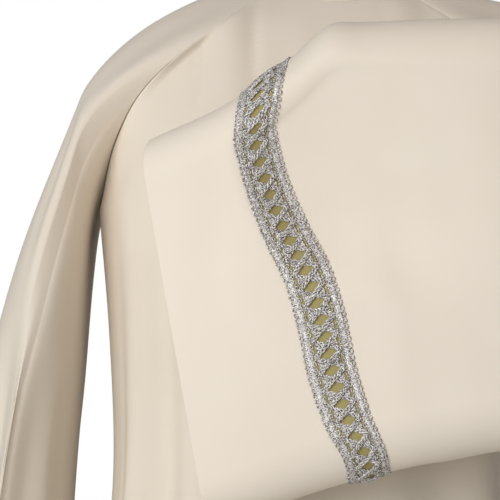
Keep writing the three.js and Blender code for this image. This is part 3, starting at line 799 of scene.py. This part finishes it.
def sleeveSurface(part, at, place):
    at, place = np.broadcast_arrays(np.asarray(at, float), np.asarray(place, float))
    point = sleevePoint(part, at, place)
    lift = sleeveCreases(part, at, place) * ease(at / sleeveDetail["seamCalm"])
    probes = sleeveDetail["probeAlong"], sleeveDetail["probeRound"]
    return point + surfaceWays(sleevePoint, part, at, place, *probes)[2] * lift[..., None]


def sleeveGrid(part):
    rows = np.array(sleeveDetail["seamRows"], float)
    cuffRows = np.array(sleeveDetail["cuffRows"], float)
    count = int((cuffRows[0] - rows[-1]) / sleeveDetail["step"])
    middle = np.linspace(rows[-1], cuffRows[0], count)[1:-1]
    at = np.concatenate([rows, middle, cuffRows])
    place = np.arange(sleeveDetail["columns"]) * sleeve["round"] / sleeveDetail["columns"]
    return sleeveSurface(part, at[:, None], place[None, :])


for part in (leftSleeve, rightSleeve):
    grid = drawBack(sleeveGrid(part), ("start",))
    piece = clothPiece(part["name"], grid, sleeveDetail["wall"], ivoryPolyester, ("start",), closed=True)
    clothPieces[part["node"]] = piece
    print(part["name"], "made", len(piece.data.polygons), "faces")


# Galloon: a silver braid 38 mm wide. A gold satin ground shows as lozenges between two crossing cords

galloon = {
    "goldHalf": 11.9,           # the gold ground reaches so far to either side
    "lozengePitch": 13.4,       # mm along the braid
    "phase": {"left": 0.09, "right": 0.0},
    "probeAlong": 1.5, "probeRound": 0.08, "ringSteps": 2240,
    "ribbonBack": 0.3, "backRows": 7,    # height of the ribbon's back over the cloth
    # Half of the ribbon's section: across, height, share of the ribs' relief
    "section": [
        (-16.8, 0.6, 0), (-16.4, 1.1, 0), (-15.6, 1.35, 1), (-14.9, 1.35, 1), (-14, 1.35, 1),
        (-13.1, 1.35, 1), (-12.4, 1.1, 0.5), (-11.9, 1, 0), (-8, 1, 0), (-4, 1, 0), (0, 1, 0),
    ],
    "ribPitch": 1.25, "ribDepth": 0.16, "samplesPerRib": 3,
    "cordSwing": 9.1,           # how far each cord swings to either side
    "swingSharpness": 0.93,     # 1 gives sharp tips
    "cordHeight": 1.9, "cordRise": 0.7,
    "plies": 3, "plyRadius": 0.84, "plySpread": 1.5, "plyLift": 0.45, "twistPitch": 6.5,
    "cordStep": 0.8, "plySides": 6,
    "picotPitch": 4.7, "unevenness": 0.12,
    # Picots stand along the edges; scrolls and their eyes fill the corners beside each crossing of the cords
    "loops": [
        {"name": "outer", "at": "picots", "across": 17.3, "lift": 0.95, "size": (3.1, 3.7), "thread": 0.62},
        {"name": "inner", "at": "picots", "across": 11.2, "lift": 1.55, "size": (2.1, 3.3), "thread": 0.5},
        {"name": "scroll", "at": "crossings", "across": 6.7, "lift": 1.6, "size": (3.4, 5.8), "thread": 0.72},
        {"name": "eye", "at": "crossings", "across": 6.7, "lift": 1.5, "size": (1.2, 2.2), "thread": 0.72},
    ],
}


# Lengths round the sleeve under the braid's middle
def ringTable(part):
    place = np.linspace(0, sleeve["round"], galloon["ringSteps"] + 1)
    ring = sleeveSurface(part, sleeve["trimMiddle"], place % sleeve["round"])
    steps = np.linalg.norm(np.diff(ring, axis=0), axis=-1)
    return place, np.concatenate([[0], np.cumsum(steps)])


# Points over the sleeve: n is across the braid, towards the cuff, and s is along it
def braidPoints(part, table, n, s, lift):
    place, lengths = table
    n, s, lift = np.broadcast_arrays(np.asarray(n, float), np.asarray(s, float), np.asarray(lift, float))
    column = np.interp(s % lengths[-1], lengths, place) % sleeve["round"]
    at = sleeve["trimMiddle"] + n
    point = sleeveSurface(part, at, column)
    probes = galloon["probeAlong"], galloon["probeRound"]
    sideways, _, normal = surfaceWays(sleeveSurface, part, at, column, *probes)
    return point + normal * lift[..., None], normal, sideways


def makeRibbon(part, table, name):
    total = table[1][-1]
    ribs = round(total / galloon["ribPitch"])
    samples = ribs * galloon["samplesPerRib"]
    s = np.arange(samples) * total / samples
    g = galloon
    section = g["section"] + [(-n, height, rib) for n, height, rib in g["section"][-2::-1]]
    n, height, relief = np.array(section, float).T
    wave = np.cos(2 * np.pi * np.arange(samples) / g["samplesPerRib"])
    lift = height[:, None] + relief[:, None] * g["ribDepth"] * wave[None, :]
    top = braidPoints(part, table, n[:, None], s[None, :], lift)[0]
    backAcross = np.linspace(n[-1], n[0], g["backRows"])
    back = braidPoints(part, table, backAcross[:, None], s[None, :], g["ribbonBack"])[0]
    grid = np.concatenate([top, back])
    across = np.concatenate([n, backAcross])
    uv = np.stack(np.broadcast_arrays(across[:, None], np.append(s, total)[None, :]), -1)
    faces, cornerUv = facesFromGrid(grid, uv, True, True)
    piece = buildMesh(name, grid, faces, cornerUv, silverThread)
    piece.data.materials.append(goldSatin)
    goldRows = np.flatnonzero(np.abs(n) <= g["goldHalf"])[:-1]
    isGold = np.isin(np.arange(len(faces)) // samples, goldRows).astype(np.int32)
    piece.data.polygons.foreach_set("material_index", isGold)
    return piece


# A guide is a mesh of points with the braid's own directions on each, for the node trees
def makeGuide(name, points, normals, sideways, edges):
    mesh = bpy.data.meshes.new(name)
    mesh.from_pydata((points.reshape(-1, 3) * mm).tolist(), edges, [])
    for label, vectors in (("outOfCloth", normals), ("sideways", sideways)):
        layer = mesh.attributes.new(label, "FLOAT_VECTOR", "POINT")
        layer.data.foreach_set("vector", vectors.reshape(-1, 3).astype(np.float32).ravel())
    return addObject(name, mesh)


def newTree(name, inputs):
    tree = bpy.data.node_groups.new(name, "GeometryNodeTree")
    tree.interface.new_socket("Geometry", in_out="INPUT", socket_type="NodeSocketGeometry")
    ids = {}
    for label, kind, value in inputs:
        socket = tree.interface.new_socket(label, in_out="INPUT", socket_type=kind)
        if value is not None:
            socket.default_value = value
        ids[label] = socket.identifier
    tree.interface.new_socket("Geometry", in_out="OUTPUT", socket_type="NodeSocketGeometry")
    return tree, ids, addNode(tree, "NodeGroupInput"), addNode(tree, "NodeGroupOutput")


# Every tree ends in real, smooth geometry with its material
def finishTree(tree, given, made, geometry):
    real = addNode(tree, "GeometryNodeRealizeInstances", inputs={"Geometry": geometry})
    smooth = addNode(tree, "GeometryNodeSetShadeSmooth", inputs={"Geometry": real.outputs[0]})
    finished = addNode(tree, "GeometryNodeSetMaterial", inputs={
        "Geometry": smooth.outputs[0], "Material": given.outputs["Material"]})
    tree.links.new(finished.outputs[0], made.inputs["Geometry"])


# Loops of thread, one on each point of the guide, lying in the cloth's plane
def loopTree():
    tree, ids, given, made = newTree("loops of thread", [
        ("Loop Length", "NodeSocketFloat", 0.0034), ("Loop Width", "NodeSocketFloat", 0.0037),
        ("Thread Radius", "NodeSocketFloat", 0.0005), ("Unevenness", "NodeSocketFloat", 0.12),
        ("Material", "NodeSocketMaterial", None),
    ])
    ring = addNode(tree, "GeometryNodeCurvePrimitiveCircle", inputs={"Resolution": 10, "Radius": 0.5})
    size = addNode(tree, "ShaderNodeCombineXYZ", inputs={
        "X": given.outputs["Loop Length"], "Y": given.outputs["Loop Width"], "Z": 1.0})
    oval = addNode(tree, "GeometryNodeTransform", inputs={
        "Geometry": ring.outputs[0], "Scale": size.outputs[0]})
    profile = addNode(tree, "GeometryNodeCurvePrimitiveCircle", inputs={
        "Resolution": 5, "Radius": given.outputs["Thread Radius"]})
    thread = addNode(tree, "GeometryNodeCurveToMesh", inputs={
        "Curve": oval.outputs[0], "Profile Curve": profile.outputs[0]})
    outOfCloth = addNode(tree, "GeometryNodeInputNamedAttribute", {"data_type": "FLOAT_VECTOR"},
                         {"Name": "outOfCloth"})
    sideways = addNode(tree, "GeometryNodeInputNamedAttribute", {"data_type": "FLOAT_VECTOR"},
                       {"Name": "sideways"})
    turned = addNode(tree, "FunctionNodeAxesToRotation", {"primary_axis": "Z", "secondary_axis": "X"}, {
        "Primary Axis": outOfCloth.outputs["Attribute"], "Secondary Axis": sideways.outputs["Attribute"]})
    uneven = addNode(tree, "FunctionNodeRandomValue", {"data_type": "FLOAT_VECTOR"}, {"Seed": 7})
    low = addNode(tree, "ShaderNodeMath", {"operation": "SUBTRACT"}, {0: 1.0, 1: given.outputs["Unevenness"]})
    high = addNode(tree, "ShaderNodeMath", {"operation": "ADD"}, {0: 1.0, 1: given.outputs["Unevenness"]})
    tree.links.new(low.outputs[0], uneven.inputs["Min"])
    tree.links.new(high.outputs[0], uneven.inputs["Max"])
    placed = addNode(tree, "GeometryNodeInstanceOnPoints", inputs={
        "Points": given.outputs["Geometry"], "Instance": thread.outputs[0],
        "Rotation": turned.outputs[0], "Scale": uneven.outputs[0]})
    finishTree(tree, given, made, placed.outputs[0])
    return tree, ids


# Thread laid along the edges of the guide
def threadTree():
    tree, ids, given, made = newTree("thread along a line", [
        ("Thread Radius", "NodeSocketFloat", 0.0006), ("Sides", "NodeSocketInt", 6),
        ("Material", "NodeSocketMaterial", None),
    ])
    line = addNode(tree, "GeometryNodeMeshToCurve", inputs={"Mesh": given.outputs["Geometry"]})
    profile = addNode(tree, "GeometryNodeCurvePrimitiveCircle", inputs={
        "Resolution": given.outputs["Sides"], "Radius": given.outputs["Thread Radius"]})
    thread = addNode(tree, "GeometryNodeCurveToMesh", inputs={
        "Curve": line.outputs[0], "Profile Curve": profile.outputs[0], "Fill Caps": True})
    finishTree(tree, given, made, thread.outputs[0])
    return tree, ids


def growOnGuide(name, guide, treeAndIds, values):
    tree, ids = treeAndIds
    modifier = guide.modifiers.new("grow", "NODES")
    modifier.node_group = tree
    for label, value in values.items():
        modifier[ids[label]] = value
    bpy.context.view_layer.update()
    seen = guide.evaluated_get(bpy.context.evaluated_depsgraph_get())
    mesh = bpy.data.meshes.new_from_object(seen)
    mesh.name = name
    guide.modifiers.remove(modifier)
    bpy.data.objects.remove(guide)
    return addObject(name, mesh)


loops = loopTree()
threads = threadTree()


def joinPieces(name, parts):
    bpy.ops.object.select_all(action="DESELECT")
    for part in parts:
        part.select_set(True)
    bpy.context.view_layer.objects.active = parts[0]
    bpy.ops.object.join()
    parts[0].name = name
    parts[0].data.name = name
    return parts[0]


# An even number of lozenges goes round, so that each cord closes on itself
def lozengesRound(total):
    return 2 * round(total / galloon["lozengePitch"] / 2)


def makeLoops(part, table, name, phase):
    total = table[1][-1]
    count = round(total / galloon["picotPitch"])
    pitches = lozengesRound(total)
    places = {
        "picots": (np.arange(count) + 0.5) * total / count,
        "crossings": (np.arange(pitches) - phase) * total / pitches,
    }
    made = []
    for row in galloon["loops"]:
        points, normals, sides = [], [], []
        for way in (-1, 1):
            point, normal, side = braidPoints(
                part, table, way * row["across"], places[row["at"]], row["lift"])
            points.append(point)
            normals.append(normal)
            sides.append(side * way)
        label = name + row["name"]
        guide = makeGuide(label, np.array(points), np.array(normals), np.array(sides), [])
        length, width = row["size"]
        made.append(growOnGuide(label, guide, loops, {
            "Loop Length": length * mm, "Loop Width": width * mm, "Thread Radius": row["thread"] * mm,
            "Unevenness": galloon["unevenness"], "Material": silverThread}))
    return joinPieces(name, made)


# Two cords of twisted plies swing from side to side, over and under each other by turns
def makeCords(part, table, name, phase):
    total = table[1][-1]
    g = galloon
    pitch = total / lozengesRound(total)
    steps = round(total / g["cordStep"])
    s = np.arange(steps) * total / steps
    turn = np.pi * (s / pitch + phase)
    twists = round(total / g["twistPitch"])
    points, edges = [], []
    for cord in (1, -1):
        # A triangle wave with rounded tips
        wave = np.arcsin(g["swingSharpness"] * np.sin(turn)) / np.arcsin(g["swingSharpness"])
        swing = g["cordSwing"] * cord * wave
        height = g["cordHeight"] + g["cordRise"] * cord * np.cos(turn)
        centre, normal, _ = braidPoints(part, table, swing, s, height)
        course = unit(np.roll(centre, -1, 0) - np.roll(centre, 1, 0))
        beside = unit(np.cross(normal, course))
        for ply in range(g["plies"]):
            angle = 2 * np.pi * (twists * s / total * cord + ply / g["plies"])
            ring = (centre + beside * (g["plySpread"] * np.cos(angle))[:, None]
                    + normal * (g["plyLift"] * np.sin(angle))[:, None])
            first = len(points) * steps
            points.append(ring)
            edges += [(first + i, first + (i + 1) % steps) for i in range(steps)]
    points = np.array(points)
    still = np.zeros_like(points)
    guide = makeGuide(name, points, still, still, edges)
    return growOnGuide(name, guide, threads, {
        "Thread Radius": g["plyRadius"] * mm, "Sides": g["plySides"], "Material": silverThread})


galloonPieces = {}
for part, label in ((leftSleeve, "left"), (rightSleeve, "right")):
    table = ringTable(part)
    ribbon = makeRibbon(part, table, "galloon_" + label + "_ribbon")
    cords = makeCords(part, table, "galloon_" + label + "_cords", galloon["phase"][label])
    picots = makeLoops(part, table, "galloon_" + label + "_loops", galloon["phase"][label])
    galloonPieces[label] = (ribbon, cords, picots, table[1][-1])
    print("galloon", label, "made,", round(table[1][-1]), "mm round:",
          [len(p.data.polygons) for p in (ribbon, cords, picots)], "faces")


# Neck band: two layers of cloth and a stiffener, cut in one strip that ends at the left front seam

bandDetail = {
    "wall": 2.6,
    "columns": 260,
    "endGap": 0.5,    # degrees between its ends
    "heights": (0, 0.5, 1.2, 2.2, 4, 8, 14, 20, 25, 28, 29.3, 30),
}


def makeNeckBand():
    first = neckline["frontAngle"] + bandDetail["endGap"] / 2
    angles = np.linspace(first, first + 360 - bandDetail["endGap"], bandDetail["columns"])
    grid = neckPoint(angles[None, :], np.array(bandDetail["heights"])[:, None])
    grid = drawBack(grid, ("start",))
    return clothPiece("alb_neck_band", grid, bandDetail["wall"], ivoryPolyester, ("start", "left", "right"))


clothPieces["neck_band"] = makeNeckBand()
print("neck band made")


# Floor, light and air round it

studio = {
    "floorDrop": 1490, "floorSize": 16,
    "floorColour": "#efece6",
    "airStrength": 0.22, "airColour": "#ffffff", "behindColour": "#ffffff",
    "lights": [
        # name, place and aim in mm, size in m, watts, colour
        ("key", (-1900, -2500, 800), (-60, -250, -350), 1.5, 30, "#ffffff"),
        ("near", (-560, -1200, -440), (-90, -260, -370), 0.6, 5.2, "#ffffff"),
        ("overhead", (1100, -1500, 1200), (100, -100, -60), 1.4, 8, "#ffe9da"),
        ("rim", (-1500, 1500, 700), (0, 0, -300), 1.2, 3, "#fff6ec"),
    ],
}


def makeStudio():
    half = studio["floorSize"] / 2
    level = -studio["floorDrop"] * mm
    mesh = bpy.data.meshes.new("floor")
    mesh.from_pydata([(-half, -half, level), (half, -half, level), (half, half, level), (-half, half, level)],
                     [], [(0, 1, 2, 3)])
    floor = addObject("floor", mesh)
    material, _, _ = newMaterial("pale matt floor", {
        "Base Color": toLinear(studio["floorColour"]), "Roughness": 0.9})
    mesh.materials.append(material)
    for name, place, aim, size, power, colour in studio["lights"]:
        data = bpy.data.lights.new(name, "AREA")
        data.shape = "DISK"
        data.size = size
        data.energy = power
        data.color = toLinear(colour)[:3]
        lamp = addObject(name, data)
        lamp.location = Vector(place) * mm
        lamp.rotation_euler = (Vector(aim) - Vector(place)).to_track_quat("-Z", "Y").to_euler()
    world = bpy.data.worlds.new("studio air")
    world.use_nodes = True
    scene.world = world
    tree = world.node_tree
    tree.nodes.clear()
    seen = addNode(tree, "ShaderNodeBackground", inputs={
        "Color": toLinear(studio["behindColour"]), "Strength": 1.0})
    air = addNode(tree, "ShaderNodeBackground", inputs={
        "Color": toLinear(studio["airColour"]), "Strength": studio["airStrength"]})
    ray = addNode(tree, "ShaderNodeLightPath")
    both = addNode(tree, "ShaderNodeMixShader", inputs={
        0: ray.outputs["Is Camera Ray"], 1: air.outputs[0], 2: seen.outputs[0]})
    addNode(tree, "ShaderNodeOutputWorld", inputs={"Surface": both.outputs[0]})
    scene.view_settings.view_transform = "Standard"


makeStudio()
print("studio made")


# Each piece is hung on the body root, and the CAD part of the same node is hidden

for node, piece in clothPieces.items():
    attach(piece, "root")
    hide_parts(node)

for label, (ribbon, cords, picots, total) in galloonPieces.items():
    for piece in (ribbon, cords, picots):
        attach(piece, "root")
    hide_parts(label + "_galloon")
